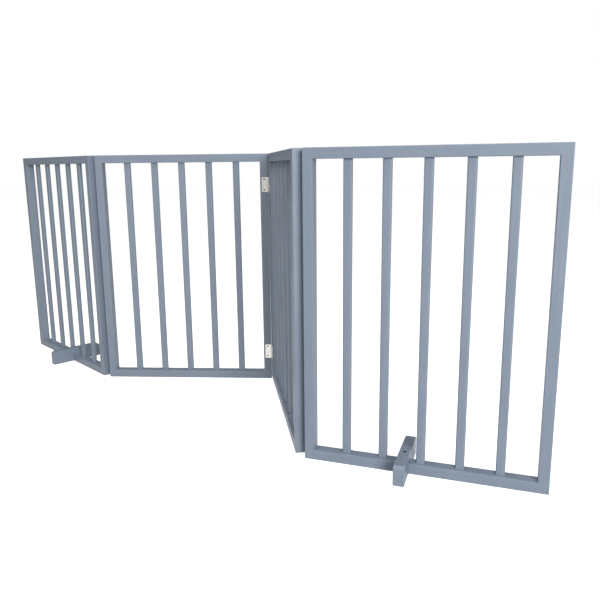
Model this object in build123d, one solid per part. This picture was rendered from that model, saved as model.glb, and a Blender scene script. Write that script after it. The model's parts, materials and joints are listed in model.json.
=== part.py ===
from build123d import *
import os

# Four-panel folding pet gate that stands on its own in a zigzag.
# Every size is in millimetres and every angle in degrees.
# A panel's own frame has its origin at the front bottom left corner of the panel:
# +X runs along the panel, +Y through it from front to back, and +Z up.

# Panel
panel_count = 4
panel_width = 457.2
panel_height = 609.6
frame_depth = 25.0
stile_width = 20.0
rail_height = 20.5
frame_edge_radius = 1.5
tenon_length = 12.0
tenon_height = 12.0
tenon_thickness = 10.0

# Bars between the rails, spread evenly over the opening
bar_count = 5
bar_width = 16.7
bar_thickness = 10.0
bar_edge_radius = 3.0
bar_socket_depth = 8.0

# Fold of the zigzag: the turn of each panel from the line of the panel to its left,
# or, for panel 1, from the line of the panel to its right
panel_gap = 1.0
fold_1_to_2 = -42.6
fold_2_to_3 = -78.1
fold_3_to_4 = 62.3

# Butt hinges, screwed to the face of the stiles, two at each fold
hinge_length = 38.0
hinge_inset = 79.0
leaf_width = 16.0
leaf_thickness = 1.0
leaf_corner_radius = 2.0
knuckle_radius = 2.0
middle_knuckle_length = 22.0
knuckle_clearance = 0.3
leaf_to_knuckle_clearance = 0.4
pin_radius = 1.0
pin_clearance = 0.05
pin_head_radius = 1.6
pin_head_height = 0.8

# Countersunk screws of the hinges
hinge_screw_radius = 1.4
hinge_screw_length = 13.0
hinge_screw_offset = 9.5
hinge_screw_spacing = 27.0

# Feet, each notched over a bottom rail and held by one screw from above
foot_length = 144.0
foot_width = 21.0
foot_height = 39.0
foot_end_radius = 9.0
foot_edge_radius = 1.5
foot_notch_clearance = 0.3
foot_1_bar_clearance = 1.15
foot_1_set_back = 0.0
foot_4_bar_clearance = 11.65
foot_4_set_back = 6.5
foot_counterbore_radius = 3.8
foot_counterbore_depth = 12.0

# Screws of the feet
foot_screw_radius = 2.2
foot_screw_head_radius = 3.5
foot_screw_head_height = 2.6
foot_screw_bite = 14.0
foot_screw_clearance = 0.2

# Cross recess of a screw, as shares of the radius of its head
recess_length_share = 1.2
recess_width_share = 0.28
recess_depth_share = 0.3

# Sizes that follow from the ones above
opening_width = panel_width - 2 * stile_width
opening_height = panel_height - 2 * rail_height
bar_gap = (opening_width - bar_count * bar_width) / (bar_count + 1)
hinge_heights = {"lower": hinge_inset, "upper": panel_height - hinge_inset}
pin_standoff = knuckle_radius
hinge_screw_head_radius = hinge_screw_radius + leaf_thickness
corner = (Align.MIN, Align.MIN, Align.MIN)


def frame_ring():
    """The frame of a panel in one piece, its edges eased except in the opening's corners."""
    ring = Box(panel_width, frame_depth, panel_height, align=corner)
    ring -= Pos(panel_width / 2, frame_depth / 2, panel_height / 2) * Box(
        opening_width, 2 * frame_depth, opening_height)
    through_edges = ring.edges().filter_by(Axis.Y)
    opening_corners = [edge for edge in through_edges if 0 < edge.center().X < panel_width]
    eased = [edge for edge in ring.edges() if edge not in opening_corners]
    return fillet(eased, frame_edge_radius)


def stile_blanks():
    """The two uprights of the frame, full height, without mortises and screw holes."""
    ring = frame_ring()
    strip = Box(stile_width, frame_depth, panel_height, align=corner)
    return {"left": ring & strip, "right": ring & Pos(panel_width - stile_width, 0, 0) * strip}


def rail_blanks():
    """The two rails of the frame between the stiles, with their tenons, without sockets."""
    ring = frame_ring()
    rails = {}
    for level, z in {"bottom": 0, "top": panel_height - rail_height}.items():
        body = ring & Pos(stile_width, 0, z) * Box(
            opening_width, frame_depth, rail_height, align=corner)
        tenons = Pos(panel_width / 2, frame_depth / 2, z + rail_height / 2) * Box(
            opening_width + 2 * tenon_length, tenon_thickness, tenon_height)
        rails[level] = body + tenons
    return rails


def bar_left(index):
    """Where the left side of a bar is, measured from the left side of its panel."""
    return stile_width + bar_gap + index * (bar_width + bar_gap)


def bar(index):
    """One upright bar, with the ends that go into the rails' sockets."""
    y = (frame_depth - bar_thickness) / 2
    z = rail_height - bar_socket_depth
    length = opening_height + 2 * bar_socket_depth
    block = Box(bar_width, bar_thickness, length, align=corner)
    return Pos(bar_left(index), y, z) * fillet(block.edges().filter_by(Axis.Z), bar_edge_radius)


def cross_recess(head_radius):
    """The cutter for a cross recess in a screw head whose top is at z = 0."""
    length = recess_length_share * head_radius
    width = recess_width_share * head_radius
    depth = 2 * recess_depth_share * head_radius
    return Box(length, width, depth) + Box(width, length, depth)


def hinge_screw_body():
    """A countersunk screw without its recess, head at the top with its face at z = 0."""
    tip = 2 * hinge_screw_radius
    shank = hinge_screw_length - leaf_thickness - tip
    top = (Align.CENTER, Align.CENTER, Align.MAX)
    screw = Cone(hinge_screw_radius, hinge_screw_head_radius, leaf_thickness, align=top)
    screw += Pos(0, 0, -leaf_thickness) * Cylinder(hinge_screw_radius, shank, align=top)
    screw += Pos(0, 0, -leaf_thickness - shank) * Cone(0, hinge_screw_radius, tip, align=top)
    return screw


# A hinge's own frame has the pin's axis as its Z axis, with the hinge's middle at z = 0.
# The face of the wood lies in the plane y = pin_standoff, and a leaf runs out along +X.

def leaf_screw_places():
    """Where the two screws of a leaf go, pointing along +Y into the wood."""
    face = pin_standoff - leaf_thickness
    return [Pos(hinge_screw_offset, face, side * hinge_screw_spacing / 2) * Rot(90, 0, 0)
            for side in (-1, 1)]


def knuckle_spans(at_ends):
    """The stretches of Z that a leaf's own knuckles take, and those that it leaves free."""
    end = hinge_length / 2
    middle = middle_knuckle_length / 2
    if at_ends:
        return [(-end, -middle), (middle, end)], [(-middle, middle)]
    middle -= knuckle_clearance
    return [(-middle, middle)], [(-end, -middle), (middle, end)]


def hinge_leaf(at_ends):
    """A leaf with its knuckles at the two ends of the hinge or in the middle."""
    plate = Pos(leaf_width / 2, pin_standoff - leaf_thickness / 2, 0) * Box(
        leaf_width, leaf_thickness, hinge_length)
    outer_corners = plate.edges().filter_by(Axis.Y).group_by(Axis.X)[-1]
    leaf = fillet(outer_corners, leaf_corner_radius)
    reach = knuckle_radius + leaf_to_knuckle_clearance
    own_spans, free_spans = knuckle_spans(at_ends)
    for low, high in free_spans:
        leaf -= Pos(0, 0, (low + high) / 2) * Box(2 * reach, 2 * reach, high - low)
    for low, high in own_spans:
        leaf += Pos(0, 0, (low + high) / 2) * Cylinder(knuckle_radius, high - low)
    leaf -= Cylinder(pin_radius + pin_clearance, 2 * hinge_length)
    for place in leaf_screw_places():
        leaf -= place * hinge_screw_body()
    return leaf


def hinge_pin():
    """The pin, headed over at both ends so that it stays in its knuckles."""
    pin = Cylinder(pin_radius, hinge_length)
    for side in (-1, 1):
        z = side * (hinge_length + pin_head_height) / 2
        pin += Pos(0, 0, z) * Cylinder(pin_head_radius, pin_head_height)
    return pin


def fold_pin_xy(panel_is_left, on_front):
    """Where a fold's pin axis lies in the frame of the panel on its left or its right."""
    x = panel_width + panel_gap / 2 if panel_is_left else -panel_gap / 2
    y = -pin_standoff if on_front else frame_depth + pin_standoff
    return x, y


def leaf_turn(panel_is_left, on_front):
    """The turn that lays a leaf on a panel's stile, on the front face or the back."""
    if panel_is_left:
        return Rot(0, 180, 0) if on_front else Rot(0, 0, 180)
    return Rot(0, 0, 0) if on_front else Rot(180, 0, 0)


def foot_block(x_middle, set_back):
    """A foot in its panel's frame, rounded and notched, without its screw hole."""
    block = Box(foot_width, foot_length, foot_height,
                align=(Align.CENTER, Align.CENTER, Align.MIN))
    top_ends = block.edges().filter_by(Axis.X).group_by(Axis.Z)[-1]
    block = fillet(top_ends, foot_end_radius)
    block = fillet(block.edges(), foot_edge_radius)
    notch = Box(2 * foot_width, frame_depth + 2 * foot_notch_clearance, 2 * rail_height)
    return Pos(x_middle, frame_depth / 2, 0) * (Pos(0, set_back, 0) * block - notch)


def foot_screw_place(x_middle):
    """Where the underside of a foot screw's head seats, at the foot of the counterbore."""
    return Pos(x_middle, frame_depth / 2, foot_height - foot_counterbore_depth)


def foot_screw():
    """A cylinder head screw, the underside of its head at z = 0, pointing down."""
    length = foot_height - foot_counterbore_depth - rail_height + foot_screw_bite
    head = Cylinder(foot_screw_head_radius, foot_screw_head_height,
                    align=(Align.CENTER, Align.CENTER, Align.MIN))
    head = fillet(head.edges().group_by(Axis.Z)[-1], foot_screw_head_height / 5)
    head -= Pos(0, 0, foot_screw_head_height) * cross_recess(foot_screw_head_radius)
    return head + Cylinder(foot_screw_radius, length, align=(Align.CENTER, Align.CENTER, Align.MAX))


def foot_screw_hole():
    """The cutter for a foot's counterbore and clearance hole, seat at z = 0."""
    bore = Cylinder(foot_counterbore_radius, 2 * foot_counterbore_depth,
                    align=(Align.CENTER, Align.CENTER, Align.MIN))
    return bore + Cylinder(foot_screw_radius + foot_screw_clearance, 2 * foot_height)


# The folds, each with the panels on its left and right and the face that its hinges are on
folds = [
    {"left": 1, "right": 2, "on_front": False},
    {"left": 2, "right": 3, "on_front": True},
    {"left": 3, "right": 4, "on_front": False},
]

# Foot 1 stands to the right of its panel's middle bar, and foot 4 to the left of its own
middle_bar_left = bar_left(bar_count // 2)
foot_middles = {
    1: middle_bar_left + bar_width + foot_1_bar_clearance + foot_width / 2,
    4: middle_bar_left - foot_4_bar_clearance - foot_width / 2,
}
foot_set_backs = {1: foot_1_set_back, 4: foot_4_set_back}


def panel_pieces(number):
    """The nodes of one panel in its own frame, as a dictionary of name to solid."""
    name = f"panel_{number}_"
    bars = [bar(index) for index in range(bar_count)]
    rails = rail_blanks()
    stiles = stile_blanks()
    for rail in rails.values():
        for side in stiles:
            stiles[side] -= rail
    for level in rails:
        for piece in bars:
            rails[level] -= piece

    pieces = {}
    screws = []
    for fold in folds:
        if number not in (fold["left"], fold["right"]):
            continue
        is_left = number == fold["left"]
        x, y = fold_pin_xy(is_left, fold["on_front"])
        stile = "right" if is_left else "left"
        for level, z in hinge_heights.items():
            place = Pos(x, y, z) * leaf_turn(is_left, fold["on_front"])
            fold_name = f"fold_{fold['left']}_{fold['right']}_{level}_leaf_"
            pieces[fold_name + ("left" if is_left else "right")] = place * hinge_leaf(is_left)
            for screw_place in leaf_screw_places():
                body = place * screw_place * hinge_screw_body()
                stiles[stile] -= body
                screws.append(body - place * screw_place * cross_recess(hinge_screw_head_radius))
        if is_left:
            pins = [Pos(x, y, z) * hinge_pin() for z in hinge_heights.values()]
            pieces[f"fold_{fold['left']}_{fold['right']}_pins"] = Compound(children=pins)
    pieces[name + "hinge_screws"] = Compound(children=screws)

    if number in foot_middles:
        middle = foot_middles[number]
        screw = foot_screw_place(middle) * foot_screw()
        rails["bottom"] -= screw
        foot = foot_block(middle, foot_set_backs[number])
        pieces[name + "foot"] = foot - foot_screw_place(middle) * foot_screw_hole()
        pieces[name + "foot_screw"] = screw

    for side, piece in stiles.items():
        pieces[f"{name}{side}_stile"] = piece
    for level, piece in rails.items():
        pieces[f"{name}{level}_rail"] = piece
    for index, piece in enumerate(bars):
        pieces[f"{name}bar_{index + 1}"] = piece
    return pieces


def beside(place, from_left, on_front, turn):
    """The place of the next panel across a fold, turned about the fold's pin."""
    here = fold_pin_xy(from_left, on_front)
    there = fold_pin_xy(not from_left, on_front)
    return place * Pos(*here, 0) * Rot(0, 0, turn) * Pos(-there[0], -there[1], 0)


# Panel 2 lies along the X axis, and the others turn away from it at the folds
panel_places = {2: Pos(0, 0, 0)}
panel_places[1] = beside(panel_places[2], False, False, fold_1_to_2)
panel_places[3] = beside(panel_places[2], True, True, fold_2_to_3)
panel_places[4] = beside(panel_places[3], True, False, fold_3_to_4)

nodes = {}
for number in range(1, panel_count + 1):
    for node, piece in panel_pieces(number).items():
        nodes[node] = panel_places[number] * piece

# The origin is the middle of the gate's footprint, on the floor
boxes = [piece.bounding_box() for piece in nodes.values()]
middle_x = (min(box.min.X for box in boxes) + max(box.max.X for box in boxes)) / 2
middle_y = (min(box.min.Y for box in boxes) + max(box.max.Y for box in boxes)) / 2
to_origin = Pos(-middle_x, -middle_y, 0)

os.makedirs("parts", exist_ok=True)
for node, piece in nodes.items():
    export_step(to_origin * piece, f"parts/{node}.step")
print(len(nodes), "nodes; panel 2's corner is at", round(-middle_x, 3), round(-middle_y, 3))
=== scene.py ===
import json
from math import radians

import bmesh
import bpy
from bpy.props import FloatProperty, FloatVectorProperty, IntProperty, PointerProperty
from mathutils import Matrix, Vector

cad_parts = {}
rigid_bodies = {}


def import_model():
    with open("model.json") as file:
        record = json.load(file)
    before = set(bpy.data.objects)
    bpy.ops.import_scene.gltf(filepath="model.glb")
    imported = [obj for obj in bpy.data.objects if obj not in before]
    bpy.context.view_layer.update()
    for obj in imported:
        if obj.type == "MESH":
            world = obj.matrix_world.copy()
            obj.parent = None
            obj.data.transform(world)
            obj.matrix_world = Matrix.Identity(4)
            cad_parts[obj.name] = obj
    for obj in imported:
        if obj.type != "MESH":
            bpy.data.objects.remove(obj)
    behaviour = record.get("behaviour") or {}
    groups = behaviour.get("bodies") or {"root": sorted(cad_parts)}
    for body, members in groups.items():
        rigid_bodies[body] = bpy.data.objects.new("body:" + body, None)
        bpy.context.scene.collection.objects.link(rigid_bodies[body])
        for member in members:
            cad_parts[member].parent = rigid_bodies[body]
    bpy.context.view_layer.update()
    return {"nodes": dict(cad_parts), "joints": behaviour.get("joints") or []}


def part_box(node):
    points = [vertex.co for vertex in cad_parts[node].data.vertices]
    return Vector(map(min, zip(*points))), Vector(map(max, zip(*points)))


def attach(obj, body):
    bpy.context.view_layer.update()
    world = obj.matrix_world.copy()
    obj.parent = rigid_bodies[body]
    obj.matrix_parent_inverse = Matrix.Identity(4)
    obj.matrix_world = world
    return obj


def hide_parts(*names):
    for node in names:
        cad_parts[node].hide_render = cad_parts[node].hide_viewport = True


bl_info = {
    "name": "Folding Pet Gate",
    "version": (1, 0, 0),
    "blender": (4, 5, 0),
    "location": "View3D > Sidebar > Pet Gate",
    "description": "Painted panels, feet and butt hinges of a four-panel gate, on its packed frame",
    "category": "Add Mesh",
}

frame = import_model()
joints = {joint["name"]: joint for joint in frame["joints"]}

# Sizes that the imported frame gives. Panel 2 lies along the X axis, so its boxes are square to it.
# A panel's own frame has its origin at the front bottom left corner of the panel:
# +X runs along the panel, +Y through it from front to back, and +Z up.
gate_corner, left_stile_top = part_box("panel_2_left_stile")
right_stile_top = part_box("panel_2_right_stile")[1]
bottom_rail_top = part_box("panel_2_bottom_rail")[1]
bar_boxes = [[corner - gate_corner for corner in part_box(node)]
             for node in sorted(frame["nodes"]) if node.startswith("panel_2_bar_")]
leaf_low, leaf_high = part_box("fold_2_3_lower_leaf_left")
pins_low, pins_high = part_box("fold_2_3_pins")


# ---------------------------------------------------------------- Sizes and colours

def size(name, default, description):
    """A length that a user can set, in metres."""
    return FloatProperty(name=name, default=default, description=description,
                         min=0.0, precision=5, subtype="DISTANCE", unit="LENGTH")


def colour(name, default, description):
    """A colour that a user can set."""
    return FloatVectorProperty(name=name, default=default, description=description,
                               size=3, min=0.0, max=1.0, subtype="COLOR")


class WoodSizes(bpy.types.PropertyGroup):
    """Sizes of the panels' frames, bars and feet."""
    panel_width: size("Panel width", right_stile_top.x - gate_corner.x, "Across both stiles")
    panel_height: size("Panel height", left_stile_top.z - gate_corner.z, "Floor to top rail")
    frame_depth: size("Frame depth", left_stile_top.y - gate_corner.y, "Front face to back face")
    stile_width: size("Stile width", left_stile_top.x - gate_corner.x, "Upright's front face")
    rail_height: size("Rail height", bottom_rail_top.z - gate_corner.z, "Rail's front face")
    frame_edge: size("Frame edge", 0.0015, "Radius of the frame's eased edges")
    bar_edge: size("Bar edge", 0.003, "Radius of the bars' long edges")
    foot_end: size("Foot end", 0.009, "Radius over the two ends of a foot")
    foot_edge: size("Foot edge", 0.0015, "Radius of a foot's other edges")
    socket_play: size("Socket play", 0.0003, "Gap all round a bar where it enters a rail")
    notch_clearance: size("Notch clearance", 0.0003, "Play of a foot's notch on each side of the rail")
    counterbore_radius: size("Counterbore radius", 0.0038, "Hole on top of a foot")
    counterbore_depth: size("Counterbore depth", 0.012, "Depth of the hole on top of a foot")


class HingeSizes(bpy.types.PropertyGroup):
    """Sizes of the butt hinges, their pins and the screws."""
    hinge_length: size("Hinge length", leaf_high.z - leaf_low.z, "Along the pin")
    knuckle_radius: size("Knuckle radius", (leaf_high.y - leaf_low.y) / 2, "Also pin to wood")
    leaf_width: size("Leaf width", leaf_high.x - leaf_low.x - (leaf_high.y - leaf_low.y) / 2,
                     "Pin's axis to the leaf's outer edge")
    leaf_thickness: size("Leaf thickness", 0.001, "Thickness of the sheet")
    leaf_corner: size("Leaf corner", 0.002, "Radius of a leaf's outer corners")
    leaf_burr: size("Leaf edge", 0.00012, "Softening of the sheet's cut edges")
    middle_knuckle: size("Middle knuckle", 0.022, "Length of the knuckle between the two others")
    knuckle_gap: size("Knuckle gap", 0.0003, "Play between neighbouring knuckles")
    knuckle_relief: size("Knuckle relief", 0.0004, "Play between a leaf and the other's knuckles")
    pin_radius: size("Pin radius", 0.001, "Radius of the pin")
    pin_head_radius: size("Pin head radius", (pins_high.x - pins_low.x) / 2, "Radius of its ends")
    pin_head_height: size("Pin head height", 0.0008, "Height of its ends")
    screw_radius: size("Screw radius", 0.0014, "Shank of a hinge screw")
    screw_length: size("Screw length", 0.013, "Head to tip")
    screw_offset: size("Screw offset", 0.0095, "Pin's axis to a screw")
    screw_spacing: size("Screw spacing", 0.027, "Between the two screws of a leaf")
    foot_screw_radius: size("Foot screw radius", 0.0022, "Shank of a foot's screw")
    foot_screw_head: size("Foot screw head", 0.0026, "Height of its head")


class Finishes(bpy.types.PropertyGroup):
    """Colours of the paint and the metal."""
    paint: colour("Paint", (0.262, 0.318, 0.398), "Blue-grey satin paint of frames, bars and feet")
    # Paler paint over the eased edges: partly wear, partly a painted highlight where the roundings
    # catch the light.
    thin_paint_and_highlight: colour("Thin paint", (0.295, 0.35, 0.432), "Paint worn thin along the edges")
    paint_thick: colour("Thick paint", (0.195, 0.243, 0.315), "Paint gathered in the grain")
    # Painted shade: the bore colour darkens the wall and the seat of a foot's screw hole, where shade
    # falls.
    bore: colour("Bore", (0.055, 0.055, 0.057), "Bare, dark wood inside a foot's screw hole")
    plating: colour("Plating", (0.70, 0.68, 0.65), "Nickel plating of leaves and pins")
    plating_dull: colour("Dull plating", (0.50, 0.48, 0.455), "Plating where it is rubbed dull")
    # The screws' metal is kept dark, partly as painted shade that stands in for the shade in their
    # recesses.
    shaded_zinc: colour("Zinc", (0.22, 0.22, 0.22), "Screws")
    shaded_zinc_dull: colour("Dull zinc", (0.09, 0.09, 0.09), "Dull parts of the screws")


class StudioSettings(bpy.types.PropertyGroup):
    """The floor, the lights and the camera."""
    floor_size: size("Floor size", 40.0, "Side of the square floor")
    floor_colour: colour("Floor", (0.94, 0.94, 0.94), "Plain pale floor")
    camera_place: FloatVectorProperty(
        name="Camera place", size=3,
        default=(gate_corner.x + 0.6389, gate_corner.y - 1.6100, 0.5759),
        description="Where the camera stands", subtype="TRANSLATION", unit="LENGTH")
    camera_turn: FloatVectorProperty(
        name="Camera turn", default=(radians(78.714), radians(0.575), radians(3.274)), size=3,
        description="How the camera is turned", subtype="EULER", unit="ROTATION")
    lens: FloatProperty(name="Lens", default=36.74, min=1.0, subtype="DISTANCE_CAMERA",
                        description="Focal length in millimetres on a 36 mm sensor")
    shift_x: FloatProperty(name="Shift X", default=-0.0031, description="Sideways lens shift")
    shift_y: FloatProperty(name="Shift Y", default=-0.0190, description="Upward lens shift")
    arc_steps: IntProperty(name="Arc steps", default=4, min=2, max=12,
                           description="Facets in a quarter round of an eased edge")


# ---------------------------------------------------------------- Modelling by hand

def alone(piece):
    """Makes one object the only one selected, and active."""
    bpy.ops.object.select_all(action="DESELECT")
    piece.select_set(True)
    bpy.context.view_layer.objects.active = piece


def open_mesh(piece):
    """Opens a piece in edit mode with all of it selected."""
    alone(piece)
    bpy.ops.object.mode_set(mode="EDIT")
    bpy.ops.mesh.select_all(action="SELECT")


def close_mesh():
    """Leaves edit mode with every face turned outwards."""
    bpy.ops.mesh.select_all(action="SELECT")
    bpy.ops.mesh.normals_make_consistent(inside=False)
    bpy.ops.object.mode_set(mode="OBJECT")


def pick(kind, wanted):
    """In edit mode, selects only the faces or the edges that are wanted."""
    bpy.ops.mesh.select_mode(type="FACE" if kind == "faces" else "EDGE")
    bpy.ops.mesh.select_all(action="DESELECT")
    mesh = bmesh.from_edit_mesh(bpy.context.object.data)
    for part in getattr(mesh, kind):
        if wanted(part):
            part.select_set(True)
    bmesh.update_edit_mesh(bpy.context.object.data)


def middle(edge):
    """The middle of an edge."""
    return (edge.verts[0].co + edge.verts[1].co) / 2


def along(edge, axis):
    """True if an edge runs along the X, Y or Z axis, given as 0, 1 or 2."""
    run = edge.verts[1].co - edge.verts[0].co
    return abs(run[axis]) > 0.999 * run.length


def add_block(name, low, high):
    """A block between two corners, as a start for a piece."""
    low, high = Vector(low), Vector(high)
    bpy.ops.object.select_all(action="DESELECT")
    bpy.ops.mesh.primitive_cube_add(size=1, location=(low + high) / 2, scale=high - low)
    bpy.ops.object.transform_apply(location=True, rotation=True, scale=True)
    block = bpy.context.object
    block.name = block.data.name = name
    return block


def turned(name, steps, segments=32):
    """A round piece on the Z axis, drawn up from a disc through steps of radius and height."""
    radius, height = steps[0]
    bpy.ops.object.select_all(action="DESELECT")
    bpy.ops.mesh.primitive_circle_add(
        vertices=segments, radius=radius, fill_type="NGON", location=(0, 0, height))
    bpy.ops.object.transform_apply(location=True, rotation=True, scale=True)
    piece = bpy.context.object
    piece.name = piece.data.name = name
    open_mesh(piece)
    for next_radius, next_height in steps[1:]:
        bpy.ops.mesh.extrude_region_move(
            TRANSFORM_OT_translate={"value": (0, 0, next_height - height)})
        share = next_radius / radius
        bpy.ops.transform.resize(value=(share, share, 1), center_override=(0, 0, next_height))
        radius, height = next_radius, next_height
    close_mesh()
    return piece


def round_edges(wanted, radius, steps):
    """In edit mode, rounds the wanted edges."""
    pick("edges", wanted)
    bpy.ops.mesh.bevel(offset=radius, offset_type="OFFSET", segments=steps, affect="EDGES",
                       clamp_overlap=True)


def is_outline(edge):
    """True for an outward edge where two faces meet at a sharp angle."""
    return len(edge.link_faces) == 2 and edge.calc_face_angle_signed() > radians(40)


def cut_across(point, normal):
    """In edit mode, cuts every face that a plane crosses, and keeps both sides."""
    bpy.ops.mesh.select_all(action="SELECT")
    bpy.ops.mesh.bisect(plane_co=point, plane_no=normal, threshold=1e-6)


def carve(piece, cutter):
    """Takes the shape of a cutter out of a piece, and removes the cutter."""
    alone(piece)
    bpy.ops.object.modifier_add(type="BOOLEAN")
    cut = piece.modifiers[-1]
    cut.operation = "DIFFERENCE"
    cut.solver = "EXACT"
    cut.object = cutter
    bpy.ops.object.modifier_apply(modifier=cut.name)
    bpy.data.objects.remove(cutter)


def polish(piece):
    """Smooth shading on the roundings, with flat faces left flat."""
    alone(piece)
    bpy.ops.object.shade_smooth_by_angle(angle=radians(35))
    bpy.ops.object.modifier_add(type="WEIGHTED_NORMAL")
    weighting = piece.modifiers[-1]
    weighting.keep_sharp = True
    weighting.weight = 100
    bpy.ops.object.modifier_apply(modifier=weighting.name)


def copy_at(model, name, place):
    """A copy of a model with its own mesh, which holds its place."""
    copy = model.copy()
    copy.data = model.data.copy()
    copy.name = copy.data.name = name
    bpy.context.scene.collection.objects.link(copy)
    copy.data.transform(place)
    return copy


def joined(name, parts):
    """Several objects made one."""
    bpy.ops.object.select_all(action="DESELECT")
    for part in parts:
        part.select_set(True)
    bpy.context.view_layer.objects.active = parts[0]
    bpy.ops.object.join()
    parts[0].name = parts[0].data.name = name
    return parts[0]


def remove(*models):
    """Removes models once their copies are made."""
    for model in models:
        bpy.data.objects.remove(model)


def mark_edges(piece, skip_axis=None):
    """Writes how far each vertex is round an eased edge, from 0 on a flat to 1 at its middle.
    Faces square to skip_axis, which are ends that nothing shows of, don't count."""
    mesh = piece.data
    sums = [Vector() for vertex in mesh.vertices]
    for face in mesh.polygons:
        if skip_axis is not None and abs(face.normal[skip_axis]) > 0.99:
            continue
        for index in face.vertices:
            sums[index] += face.normal
    full = 1 - 0.5 ** 0.5
    shares = []
    for total in sums:
        normal = total.normalized()
        off = 1 - max(abs(part) for part in normal) if normal.length else 0.0
        shares.append(min(1.0, off / full))
    marks = mesh.attributes.new("edge", "FLOAT", "POINT")
    marks.data.foreach_set("value", shares)


def mark_grain(piece, lengthwise, number):
    """Writes each vertex's place along, across and through the grain, moved on by the piece's
    number so that no two pieces have the same grain. Lengthwise is the axis of the grain."""
    order = {0: (0, 2, 1), 1: (1, 0, 2), 2: (2, 0, 1)}[lengthwise]
    start = Vector((1.37, 0.83, 0.59)) * number
    marks = piece.data.attributes.new("grain", "FLOAT_VECTOR", "POINT")
    for vertex, mark in zip(piece.data.vertices, marks.data):
        mark.vector = Vector([vertex.co[axis] for axis in order]) + start


def fit(piece, node, body, material):
    """Gives a piece its finish and makes it stand for its CAD node."""
    piece.data.materials.clear()
    piece.data.materials.append(material)
    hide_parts(node)
    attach(piece, body)


# ---------------------------------------------------------------- Where the panels stand

def panel_step(sizes):
    """From one panel's corner to the next one's when the gate is straight."""
    pin = Vector(joints["fold_2_3"]["pos_m"]) - gate_corner
    return 2 * pin.x - sizes.panel_width


def panel_places(sizes):
    """Each panel's own frame. A fold's lower limit is straight, so turning back by it from
    straight gives the panel's place in the zigzag."""
    places = {2: Matrix.Translation(gate_corner)}
    step = panel_step(sizes)
    for name in ("fold_1_2", "fold_2_3", "fold_3_4"):
        joint = joints[name]
        parent = int(joint["parent"][-1])
        child = int(joint["child"][-1])
        to_pin = Matrix.Translation(Vector(joint["pos_m"]))
        turn = Matrix.Rotation(radians(-joint["range_deg"][0]), 4, Vector(joint["axis"]))
        straight = places[parent] @ Matrix.Translation(((child - parent) * step, 0, 0))
        places[child] = to_pin @ turn @ to_pin.inverted() @ straight
    return places


def box_in_panel(node, place):
    """The lowest and highest corners of a CAD node, measured square to its panel."""
    to_panel = place.inverted()
    corners = [to_panel @ vertex.co for vertex in frame["nodes"][node].data.vertices]
    low = Vector([min(corner[axis] for corner in corners) for axis in range(3)])
    high = Vector([max(corner[axis] for corner in corners) for axis in range(3)])
    return low, high


def hinge_places(sizes):
    """Every hinge leaf: its node, its panel, whether its knuckles are at the ends, and its frame,
    which has the pin's axis as Z and the leaf along +X, with the wood beyond it in +Y."""
    panels = panel_places(sizes)
    found = []
    for fold, joint in joints.items():
        left, right = (int(number) for number in fold.split("_")[1:])
        pin = Vector(joint["pos_m"])
        for side, number in (("left", left), ("right", right)):
            on_front = (panels[number].inverted() @ pin).y < 0
            if side == "left":
                turn = Matrix.Rotation(radians(180), 4, "Y" if on_front else "Z")
            else:
                turn = Matrix.Rotation(radians(0 if on_front else 180), 4, "X")
            for level in ("lower", "upper"):
                node = f"{fold}_{level}_leaf_{side}"
                low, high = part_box(node)
                centre = Vector((pin.x, pin.y, (low.z + high.z) / 2))
                square = panels[number].to_3x3().to_4x4()
                place = Matrix.Translation(centre) @ square @ turn
                found.append((node, number, side == "left", place))
    return found


def screws_in_leaf(sizes):
    """Where the two screws of a leaf go in the hinge's frame, each pointing into the wood."""
    face = sizes.knuckle_radius - sizes.leaf_thickness
    into_wood = Matrix.Rotation(radians(90), 4, "X")
    return [Matrix.Translation((sizes.screw_offset, face, side * sizes.screw_spacing / 2))
            @ into_wood for side in (-1, 1)]


# ---------------------------------------------------------------- Finishes

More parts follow.
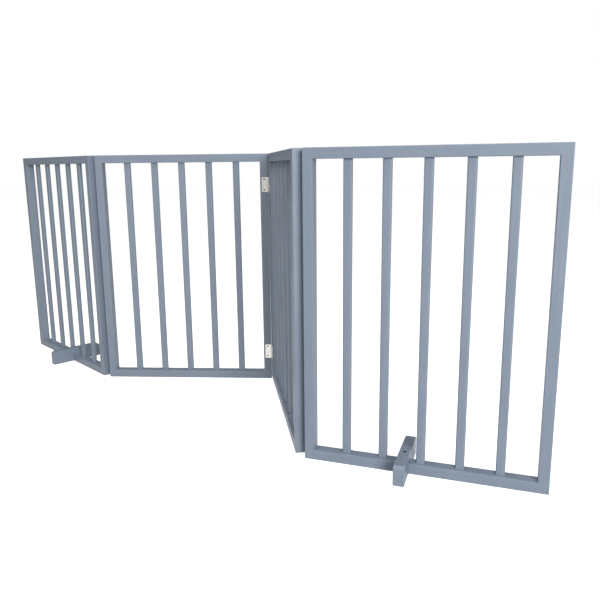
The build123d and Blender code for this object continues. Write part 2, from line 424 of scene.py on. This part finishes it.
class NodeBench:
    """A material's node tree, with short ways to add to it."""

    def __init__(self, name):
        self.material = bpy.data.materials.new(name)
        self.material.use_nodes = True
        self.tree = self.material.node_tree
        self.shader = self.tree.nodes["Principled BSDF"]

    def add(self, kind, **settings):
        node = self.tree.nodes.new("ShaderNode" + kind)
        for name, value in settings.items():
            setattr(node, name, value)
        return node

    def join(self, source, target):
        self.tree.links.new(source, target)

    def attribute(self, name, output="Vector"):
        return self.add("Attribute", attribute_name=name).outputs[output]

    def noise(self, place, stretch, detail=2.0, roughness=0.5, distortion=0.0):
        """Noise with so many repeats a metre along each axis of the place."""
        mapping = self.add("Mapping")
        mapping.inputs["Scale"].default_value = stretch
        self.join(place, mapping.inputs["Vector"])
        noise = self.add("TexNoise")
        noise.inputs["Scale"].default_value = 1.0
        noise.inputs["Detail"].default_value = detail
        noise.inputs["Roughness"].default_value = roughness
        noise.inputs["Distortion"].default_value = distortion
        self.join(mapping.outputs["Vector"], noise.inputs["Vector"])
        return noise.outputs["Fac"]

    def spread(self, value, low, high, to_low=0.0, to_high=1.0):
        """Spreads a value's range from low to high over another range."""
        node = self.add("MapRange")
        for name, number in (("From Min", low), ("From Max", high),
                             ("To Min", to_low), ("To Max", to_high)):
            node.inputs[name].default_value = number
        self.join(value, node.inputs["Value"])
        return node.outputs["Result"]

    def sum(self, first, second, operation="ADD"):
        """Two values added, or worked on by another operation. The second may be a number."""
        node = self.add("Math", operation=operation)
        self.join(first, node.inputs[0])
        if isinstance(second, float):
            node.inputs[1].default_value = second
        else:
            self.join(second, node.inputs[1])
        return node.outputs["Value"]

    def mix(self, share, first, second):
        """A colour between two others. Each may be a colour or a socket."""
        node = self.add("Mix", data_type="RGBA")
        self.join(share, node.inputs["Factor"])
        for socket, value in ((node.inputs[6], first), (node.inputs[7], second)):
            if isinstance(value, bpy.types.NodeSocket):
                self.join(value, socket)
            else:
                socket.default_value = (*value, 1.0)
        return node.outputs[2]

    def bump(self, height, distance, strength):
        node = self.add("Bump")
        node.inputs["Strength"].default_value = strength
        node.inputs["Distance"].default_value = distance
        self.join(height, node.inputs["Height"])
        self.join(node.outputs["Normal"], self.shader.inputs["Normal"])


def painted_wood(name, finishes):
    """Satin paint brushed on planed softwood. The grain telegraphs through it as fine streaks,
    the coat is a little uneven, and it is thinner and paler over the eased edges, partly as wear
    and partly as a painted highlight. Inside a foot's screw hole it is darkened as painted shade."""
    bench = NodeBench(name)
    grain = bench.attribute("grain")
    fine = bench.noise(grain, (7, 420, 420), detail=3, roughness=0.6, distortion=0.2)
    broad = bench.noise(grain, (2.5, 70, 70), detail=2, distortion=0.6)
    clouds = bench.noise(grain, (14, 22, 22), detail=3)
    pores = bench.noise(grain, (75, 1900, 1900), detail=1)
    stipple = bench.noise(grain, (900, 1400, 1400), detail=2)

    low, high = 0.5 - 0.24, 0.5 + 0.24
    streak = bench.spread(fine, low, high)
    band = bench.spread(broad, low, high)
    cloud = bench.spread(clouds, 0.3, 0.7)
    mixed = bench.sum(bench.sum(streak, 0.45, "MULTIPLY"), bench.sum(band, 0.25, "MULTIPLY"))
    mixed = bench.sum(mixed, bench.sum(cloud, 0.3, "MULTIPLY"))
    coat = bench.mix(bench.spread(mixed, 0.25, 0.75, 0.0, 0.55), finishes.paint, finishes.paint_thick)
    pore = bench.spread(pores, 0.66, 0.76, 0.0, 0.35)
    coat = bench.mix(pore, coat, finishes.paint_thick)
    # Paler edges, partly worn paint and partly a painted highlight on the roundings.
    edge_wear_and_highlight = bench.sum(bench.attribute("edge", "Fac"), bench.spread(clouds, 0.3, 0.7, 0.25, 0.75),
                     "MULTIPLY")
    coat = bench.mix(edge_wear_and_highlight, coat, finishes.thin_paint_and_highlight)
    # Painted shade: the wall and the seat of a foot's screw hole are darkened nearly to black.
    coat = bench.mix(bench.attribute("bare", "Fac"), coat, finishes.bore)
    bench.join(coat, bench.shader.inputs["Base Color"])
    bench.join(bench.spread(mixed, 0.2, 0.8, 0.40, 0.54), bench.shader.inputs["Roughness"])
    relief = bench.sum(bench.sum(streak, 0.6, "MULTIPLY"), bench.sum(stipple, 0.35, "MULTIPLY"))
    relief = bench.sum(relief, pore, "SUBTRACT")
    bench.bump(relief, 0.00025, 0.35)
    return bench.material


def plated_metal(name, bright, dull, roughness):
    """Plated steel with fine drawing marks and dull, rubbed patches."""
    bench = NodeBench(name)
    place = bench.attribute("metal")
    lines = bench.noise(place, (60, 60, 900), detail=3, roughness=0.6)
    patches = bench.noise(place, (260, 260, 260), detail=4, roughness=0.6)
    pits = bench.noise(place, (2600, 2600, 2600), detail=1)
    patch = bench.spread(patches, 0.42, 0.68)
    bench.join(bench.mix(patch, bright, dull), bench.shader.inputs["Base Color"])
    bench.shader.inputs["Metallic"].default_value = 1.0
    rough = bench.sum(bench.spread(patches, 0.3, 0.7, roughness - 0.06, roughness + 0.12),
                      bench.spread(lines, 0.3, 0.7, -0.03, 0.05))
    bench.join(rough, bench.shader.inputs["Roughness"])
    relief = bench.sum(bench.sum(lines, 0.7, "MULTIPLY"), bench.sum(pits, 0.3, "MULTIPLY"))
    bench.bump(relief, 0.00006, 0.4)
    return bench.material


def mark_metal(piece):
    """Writes each vertex's place before the piece is turned into position, for the drawing marks."""
    marks = piece.data.attributes.new("metal", "FLOAT_VECTOR", "POINT")
    for vertex, mark in zip(piece.data.vertices, marks.data):
        mark.vector = vertex.co


# ---------------------------------------------------------------- Operators

class PETGATE_OT_frames(bpy.types.Operator):
    """Model the stiles and rails of the four panels"""
    bl_idname = "petgate.frames"
    bl_label = "Stiles and Rails"

    def execute(self, context):
        sizes = context.scene.gate_wood
        steps = context.scene.gate_studio.arc_steps
        ring = self.frame_ring(sizes, steps)
        width, height = sizes.panel_width, sizes.panel_height
        near, far = sizes.stile_width, width - sizes.stile_width
        slack = 1e-5
        models = {
            "left_stile": (2, self.part(ring, lambda spot: spot.x < near + slack)),
            "right_stile": (2, self.part(ring, lambda spot: spot.x > far - slack)),
            "bottom_rail": (0, self.part(
                ring, lambda spot: near + slack < spot.x < far - slack and spot.z < height / 2)),
            "top_rail": (0, self.part(
                ring, lambda spot: near + slack < spot.x < far - slack and spot.z > height / 2)),
        }
        remove(ring)
        for level in ("bottom_rail", "top_rail"):
            self.cut_sockets(models[level][1], sizes)
        for lengthwise, model in models.values():
            polish(model)
        paint = painted_wood("painted_frame", context.scene.gate_finishes)
        count = 0
        for number, place in panel_places(sizes).items():
            for part, (lengthwise, model) in models.items():
                node = f"panel_{number}_{part}"
                piece = copy_at(model, node + "_painted", Matrix())
                mark_grain(piece, lengthwise, count)
                piece.data.transform(place)
                fit(piece, node, f"panel_{number}", paint)
                count += 1
        remove(*(model for lengthwise, model in models.values()))
        return {"FINISHED"}

    def frame_ring(self, sizes, steps):
        """The frame of a panel in one piece, its edges eased, with the joints' lines cut."""
        width, height, depth = sizes.panel_width, sizes.panel_height, sizes.frame_depth
        ring = add_block("frame_ring", (0, 0, 0), (width, depth, height))
        open_mesh(ring)
        pick("faces", lambda face: abs(face.normal.y) > 0.9)
        bpy.ops.mesh.inset(thickness=sizes.stile_width)
        taller = (height - 2 * sizes.rail_height) / (height - 2 * sizes.stile_width)
        bpy.ops.transform.resize(
            value=(1, 1, taller), center_override=(width / 2, depth / 2, height / 2))
        bpy.ops.mesh.bridge_edge_loops()
        close_mesh()
        open_mesh(ring)
        round_edges(is_outline, sizes.frame_edge, steps)
        close_mesh()
        mark_edges(ring)
        open_mesh(ring)
        for x in (sizes.stile_width, width - sizes.stile_width):
            cut_across((x, 0, 0), (1, 0, 0))
        close_mesh()
        return ring

    def part(self, ring, belongs):
        """The closed part of the ring whose faces belong to it."""
        piece = copy_at(ring, "frame_part", Matrix())
        open_mesh(piece)
        pick("faces", lambda face: not belongs(face.calc_center_median()))
        bpy.ops.mesh.delete(type="FACE")
        bpy.ops.mesh.select_all(action="SELECT")
        bpy.ops.mesh.fill_holes(sides=0)
        close_mesh()
        return piece

    def cut_sockets(self, rail, sizes):
        """Cuts the sockets that the bars enter, a little wider than the bars."""
        play = Vector((sizes.socket_play, sizes.socket_play, 0))
        for low, high in bar_boxes:
            socket = add_block("socket", low - play, high + play)
            open_mesh(socket)
            round_edges(lambda edge: along(edge, 2), sizes.bar_edge + sizes.socket_play, 6)
            close_mesh()
            carve(rail, socket)


class PETGATE_OT_bars(bpy.types.Operator):
    """Model the upright bars between the rails"""
    bl_idname = "petgate.bars"
    bl_label = "Bars"

    def execute(self, context):
        sizes = context.scene.gate_wood
        low, high = bar_boxes[0]
        model = add_block("bar", low, high)
        open_mesh(model)
        round_edges(lambda edge: along(edge, 2), sizes.bar_edge,
                    context.scene.gate_studio.arc_steps + 2)
        close_mesh()
        mark_edges(model, skip_axis=2)
        polish(model)
        paint = painted_wood("painted_bar", context.scene.gate_finishes)
        for number, place in panel_places(sizes).items():
            for index, (bar_low, bar_high) in enumerate(bar_boxes):
                node = f"panel_{number}_bar_{index + 1}"
                piece = copy_at(model, node + "_painted", Matrix.Translation(bar_low - low))
                mark_grain(piece, 2, 20 + 5 * number + index)
                piece.data.transform(place)
                fit(piece, node, f"panel_{number}", paint)
        remove(model)
        return {"FINISHED"}


class PETGATE_OT_feet(bpy.types.Operator):
    """Model the two feet that are notched over the bottom rails"""
    bl_idname = "petgate.feet"
    bl_label = "Feet"

    def execute(self, context):
        sizes = context.scene.gate_wood
        steps = context.scene.gate_studio.arc_steps
        paint = painted_wood("painted_foot", context.scene.gate_finishes)
        for number, place in panel_places(sizes).items():
            node = f"panel_{number}_foot"
            if node not in frame["nodes"]:
                continue
            low, high = box_in_panel(node, place)
            foot = self.foot(node + "_painted", low, high, sizes, steps)
            mark_grain(foot, 1, 50 + number)
            foot.data.transform(place)
            fit(foot, node, f"panel_{number}", paint)
        return {"FINISHED"}

    def foot(self, name, low, high, sizes, steps):
        """A foot with rounded ends, its notch and the hole for its screw."""
        foot = add_block(name, low, high)
        open_mesh(foot)
        round_edges(lambda edge: along(edge, 0) and middle(edge).z > high.z - 1e-5,
                    sizes.foot_end, 2 * steps + 2)
        round_edges(is_outline, sizes.foot_edge, steps)
        close_mesh()
        mark_edges(foot)
        notch_low = (low.x - 0.01, -sizes.notch_clearance, -0.01)
        notch_high = (high.x + 0.01, sizes.frame_depth + sizes.notch_clearance, sizes.rail_height)
        carve(foot, add_block("notch", notch_low, notch_high))
        radius, seat = sizes.counterbore_radius, high.z - sizes.counterbore_depth
        lip = 0.0004
        bore = turned("bore", ((radius, seat), (radius, high.z - lip), (radius + lip, high.z),
                               (radius + lip, high.z + 0.01)), 40)
        centre = ((low.x + high.x) / 2, sizes.frame_depth / 2, 0)
        bore.data.transform(Matrix.Translation(centre))
        carve(foot, bore)
        polish(foot)
        self.mark_hole_shade(foot, Vector(centre), radius, seat, high.z - lip)
        return foot

    def mark_hole_shade(self, foot, centre, radius, seat, rim):
        """Marks the wall and the seat of the screw's hole, where the paint is darkened as painted
        shade.
        """
        slack = 1e-5
        marks = foot.data.attributes.new("bare", "FLOAT", "FACE")
        for face, mark in zip(foot.data.polygons, marks.data):
            inside = (face.center - centre).xy.length < radius + slack
            mark.value = float(inside and seat - slack < face.center.z < rim)


class PETGATE_OT_leaves(bpy.types.Operator):
    """Model the hinge leaves with their rolled knuckles"""
    bl_idname = "petgate.leaves"
    bl_label = "Hinge Leaves"

    def execute(self, context):
        sizes = context.scene.gate_hinge
        finishes = context.scene.gate_finishes
        plating = plated_metal("hinge_plate", finishes.plating, finishes.plating_dull, 0.27)
        models = {at_ends: self.leaf(sizes, at_ends) for at_ends in (True, False)}
        for node, number, at_ends, place in hinge_places(context.scene.gate_wood):
            piece = copy_at(models[at_ends], node + "_plated", place)
            fit(piece, node, f"panel_{number}", plating)
        remove(*models.values())
        return {"FINISHED"}

    def leaf(self, sizes, at_ends):
        """A leaf in its hinge's frame, with knuckles at the two ends or in the middle."""
        end = sizes.hinge_length / 2
        split = sizes.middle_knuckle / 2 - (0 if at_ends else sizes.knuckle_gap)
        reach = sizes.knuckle_radius + sizes.knuckle_relief
        wood = sizes.knuckle_radius
        plate = add_block("leaf", (reach, wood - sizes.leaf_thickness, -end),
                          (sizes.leaf_width, wood, end))
        open_mesh(plate)
        for z in (-split, split):
            cut_across((0, 0, z), (0, 0, 1))
        round_edges(lambda edge: along(edge, 1) and middle(edge).x > sizes.leaf_width - 1e-5
                    and abs(middle(edge).z) > end - 1e-5, sizes.leaf_corner, 6)
        pick("faces", lambda face: face.normal.x < -0.9
             and (abs(face.calc_center_median().z) > split) == at_ends)
        bpy.ops.mesh.extrude_region_move(TRANSFORM_OT_translate={"value": (-reach, 0, 0)})
        bpy.ops.mesh.spin(steps=26, angle=radians(286), center=(0, 0, 0), axis=(0, 0, 1))
        bpy.ops.mesh.select_all(action="SELECT")
        bpy.ops.mesh.remove_doubles(threshold=1e-7)
        close_mesh()
        for place in screws_in_leaf(sizes):
            hole = turned("hole", (
                (sizes.screw_radius, -2 * sizes.leaf_thickness),
                (sizes.screw_radius, -sizes.leaf_thickness),
                (sizes.screw_radius + sizes.leaf_thickness, 0),
                (sizes.screw_radius + sizes.leaf_thickness, sizes.leaf_thickness)))
            hole.data.transform(place)
            carve(plate, hole)
        alone(plate)
        bpy.ops.object.modifier_add(type="BEVEL")
        softening = plate.modifiers[-1]
        softening.width = sizes.leaf_burr
        softening.segments = 2
        softening.limit_method = "ANGLE"
        softening.angle_limit = radians(50)
        bpy.ops.object.modifier_apply(modifier=softening.name)
        mark_metal(plate)
        polish(plate)
        return plate


class PETGATE_OT_pins(bpy.types.Operator):
    """Model the hinge pins with their closed ends"""
    bl_idname = "petgate.pins"
    bl_label = "Hinge Pins"

    def execute(self, context):
        sizes = context.scene.gate_hinge
        finishes = context.scene.gate_finishes
        steel = plated_metal("hinge_pin_steel", finishes.plating, finishes.plating_dull, 0.3)
        model = self.pin(sizes)
        groups = {}
        for node, number, at_ends, place in hinge_places(context.scene.gate_wood):
            if at_ends:
                fold = node[:len("fold_1_2")]
                groups.setdefault((fold, number), []).append(copy_at(model, "pin", place))
        for (fold, number), pins in groups.items():
            piece = joined(fold + "_pins_steel", pins)
            fit(piece, fold + "_pins", f"panel_{number}", steel)
        remove(model)
        return {"FINISHED"}

    def pin(self, sizes):
        """A pin in its hinge's frame, its two ends closed over as low domes."""
        end = sizes.hinge_length / 2
        tall, wide = sizes.pin_head_height, sizes.pin_head_radius
        dome = [(wide, end), (wide, end + 0.35 * tall), (0.88 * wide, end + 0.72 * tall),
                (0.6 * wide, end + 0.93 * tall), (0.25 * wide, end + tall)]
        lower = [(radius, -height) for radius, height in reversed(dome)]
        pin = turned("pin", [*lower, (sizes.pin_radius, -end), (sizes.pin_radius, end), *dome], 24)
        mark_metal(pin)
        polish(pin)
        return pin


def cross_recess(piece, head_radius, top):
    """Cuts a cross recess in a screw's head whose face is at the height top."""
    long, wide, deep = 0.6 * head_radius, 0.14 * head_radius, 0.3 * head_radius
    carve(piece, add_block("slot", (-long, -wide, top - deep), (long, wide, top + deep)))
    carve(piece, add_block("slot", (-wide, -long, top - deep), (wide, long, top + deep)))


class PETGATE_OT_hinge_screws(bpy.types.Operator):
    """Model the countersunk screws of the hinges"""
    bl_idname = "petgate.hinge_screws"
    bl_label = "Hinge Screws"

    def execute(self, context):
        sizes = context.scene.gate_hinge
        finishes = context.scene.gate_finishes
        # Dark screw metal, partly painted shade for the screws' recesses.
        steel = plated_metal("hinge_screw_steel", finishes.shaded_zinc, finishes.shaded_zinc_dull, 0.34)
        model = self.screw(sizes)
        groups = {}
        for node, number, at_ends, place in hinge_places(context.scene.gate_wood):
            for screw_place in screws_in_leaf(sizes):
                screw = copy_at(model, "screw", place @ screw_place)
                groups.setdefault(number, []).append(screw)
        for number, screws in groups.items():
            node = f"panel_{number}_hinge_screws"
            piece = joined(node + "_steel", screws)
            fit(piece, node, f"panel_{number}", steel)
        remove(model)
        return {"FINISHED"}

    def screw(self, sizes):
        """A countersunk screw, its face at z = 0 and its point down."""
        shank, head = sizes.screw_radius, sizes.screw_radius + sizes.leaf_thickness
        screw = turned("screw", (
            (0.1 * shank, -sizes.screw_length),
            (shank, -sizes.screw_length + 2 * shank),
            (shank, -sizes.leaf_thickness),
            (0.97 * head, -0.12 * sizes.leaf_thickness),
            (0.96 * head, -0.04 * sizes.leaf_thickness),
            (0.9 * head, 0)), 28)
        cross_recess(screw, head, 0)
        mark_metal(screw)
        polish(screw)
        return screw


class PETGATE_OT_foot_screws(bpy.types.Operator):
    """Model the screws that hold the feet"""
    bl_idname = "petgate.foot_screws"
    bl_label = "Foot Screws"

    def execute(self, context):
        sizes = context.scene.gate_hinge
        finishes = context.scene.gate_finishes
        # The same dark screw metal, partly painted shade for the recess around the screw.
        steel = plated_metal("foot_screw_steel", finishes.shaded_zinc, finishes.shaded_zinc_dull, 0.36)
        for number, place in panel_places(context.scene.gate_wood).items():
            node = f"panel_{number}_foot_screw"
            if node not in frame["nodes"]:
                continue
            low, high = box_in_panel(node, place)
            screw = self.screw(node + "_steel", sizes, high - low)
            top = Vector(((low.x + high.x) / 2, (low.y + high.y) / 2, high.z))
            screw.data.transform(place @ Matrix.Translation(top))
            fit(screw, node, f"panel_{number}", steel)
        return {"FINISHED"}

    def screw(self, name, sizes, extent):
        """A pan head screw as wide and long as its node, its top at z = 0."""
        head, shank, seat = extent.x / 2, sizes.foot_screw_radius, -sizes.foot_screw_head
        screw = turned(name, (
            (0.2 * shank, -extent.z), (shank, -extent.z + 2 * shank), (shank, seat),
            (head, seat), (head, 0.45 * seat), (0.94 * head, 0.2 * seat),
            (0.82 * head, 0.06 * seat), (0.62 * head, 0)))
        cross_recess(screw, head, 0)
        mark_metal(screw)
        polish(screw)
        return screw


# Each soft light: its name, its place, the point that it is aimed at, its side and its power
soft_lights = (
    ("front_light", (1.3, -3.2, 1.3), (0.0, 0.0, 0.3), 1.3, 82),
    ("left_light", (-0.9, -0.8, 0.9), (0.25, -0.1, 0.3), 0.7, 2.5),
    ("top_light", (0.0, -0.6, 3.2), (0.0, 0.0, 0.0), 2.0, 34),
)
surroundings_strength = 0.18
floor_glow = 0.82


class PETGATE_OT_studio(bpy.types.Operator):
    """Set the floor, the soft lights and the camera"""
    bl_idname = "petgate.studio"
    bl_label = "Studio"

    def execute(self, context):
        studio = context.scene.gate_studio
        self.floor(studio)
        self.surroundings(context.scene)
        for name, place, aim, side, power in soft_lights:
            self.soft_light(name, place, aim, side, power)
        self.camera(context.scene, studio)
        context.scene.view_settings.view_transform = "Standard"
        return {"FINISHED"}

    def floor(self, studio):
        """A plain pale floor with a barely uneven surface."""
        half = studio.floor_size / 2
        bpy.ops.object.select_all(action="DESELECT")
        bpy.ops.mesh.primitive_plane_add(size=2 * half)
        floor = bpy.context.object
        floor.name = "floor"
        bench = NodeBench("floor")
        place = bench.add("TexCoord").outputs["Object"]
        uneven = bench.noise(place, (3, 3, 3))
        bench.join(bench.mix(bench.spread(uneven, 0.3, 0.7, 0.0, 0.05), studio.floor_colour,
                             (1.0, 1.0, 1.0)), bench.shader.inputs["Base Color"])
        bench.shader.inputs["Roughness"].default_value = 0.9
        bench.shader.inputs["Emission Color"].default_value = (1, 1, 1, 1)
        bench.shader.inputs["Emission Strength"].default_value = floor_glow
        bench.shader.inputs["Specular IOR Level"].default_value = 0.1
        floor.data.materials.append(bench.material)
        floor.visible_diffuse = False

    def surroundings(self, scene):
        """Pale surroundings, seen white, that light the gate softly from all sides."""
        world = bpy.data.worlds.new("surroundings")
        world.use_nodes = True
        tree = world.node_tree
        background = tree.nodes["Background"]
        seen = tree.nodes.new("ShaderNodeBackground")
        seen.inputs["Color"].default_value = (1, 1, 1, 1)
        background.inputs["Color"].default_value = (1, 1, 1, 1)
        background.inputs["Strength"].default_value = surroundings_strength
        choice = tree.nodes.new("ShaderNodeMixShader")
        path = tree.nodes.new("ShaderNodeLightPath")
        tree.links.new(path.outputs["Is Camera Ray"], choice.inputs["Fac"])
        tree.links.new(background.outputs["Background"], choice.inputs[1])
        tree.links.new(seen.outputs["Background"], choice.inputs[2])
        tree.links.new(choice.outputs["Shader"], tree.nodes["World Output"].inputs["Surface"])
        scene.world = world

    def soft_light(self, name, place, aim, side, power):
        """A square softbox aimed at a point."""
        data = bpy.data.lights.new(name, "AREA")
        data.shape = "SQUARE"
        data.size = side
        data.energy = power
        lamp = bpy.data.objects.new(name, data)
        lamp.location = place
        lamp.rotation_euler = (Vector(aim) - Vector(place)).to_track_quat("-Z", "Y").to_euler()
        bpy.context.scene.collection.objects.link(lamp)

    def camera(self, scene, studio):
        """The camera, with the shift that frames the gate."""
        data = bpy.data.cameras.new("camera")
        data.sensor_width = 36.0
        data.lens = studio.lens
        data.shift_x = studio.shift_x
        data.shift_y = studio.shift_y
        camera = bpy.data.objects.new("camera", data)
        camera.location = studio.camera_place
        camera.rotation_euler = studio.camera_turn
        scene.collection.objects.link(camera)
        scene.camera = camera


class PETGATE_PT_sidebar(bpy.types.Panel):
    """Everything that the gate is made of, with its sizes and finishes"""
    bl_idname = "PETGATE_PT_sidebar"
    bl_label = "Pet Gate"
    bl_space_type = "VIEW_3D"
    bl_region_type = "UI"
    bl_category = "Pet Gate"

    def draw(self, context):
        for operator in operators:
            self.layout.operator(operator.bl_idname)
        for group in (context.scene.gate_wood, context.scene.gate_hinge,
                      context.scene.gate_finishes, context.scene.gate_studio):
            column = self.layout.box().column()
            for name in group.__annotations__:
                column.prop(group, name)


groups = {"gate_wood": WoodSizes, "gate_hinge": HingeSizes, "gate_finishes": Finishes,
          "gate_studio": StudioSettings}
operators = (PETGATE_OT_frames, PETGATE_OT_bars, PETGATE_OT_feet, PETGATE_OT_leaves,
             PETGATE_OT_pins, PETGATE_OT_hinge_screws, PETGATE_OT_foot_screws, PETGATE_OT_studio)


def register():
    for name, group in groups.items():
        bpy.utils.register_class(group)
        setattr(bpy.types.Scene, name, PointerProperty(type=group))
    for part in (*operators, PETGATE_PT_sidebar):
        bpy.utils.register_class(part)


def unregister():
    for part in (PETGATE_PT_sidebar, *reversed(operators)):
        bpy.utils.unregister_class(part)
    for name, group in groups.items():
        delattr(bpy.types.Scene, name)
        bpy.utils.unregister_class(group)


def main():
    """Makes the gate and its studio."""
    register()
    bpy.ops.petgate.frames()
    bpy.ops.petgate.bars()
    bpy.ops.petgate.feet()
    bpy.ops.petgate.leaves()
    bpy.ops.petgate.pins()
    bpy.ops.petgate.hinge_screws()
    bpy.ops.petgate.foot_screws()
    bpy.ops.petgate.studio()


if __name__ == "__main__":
    main()
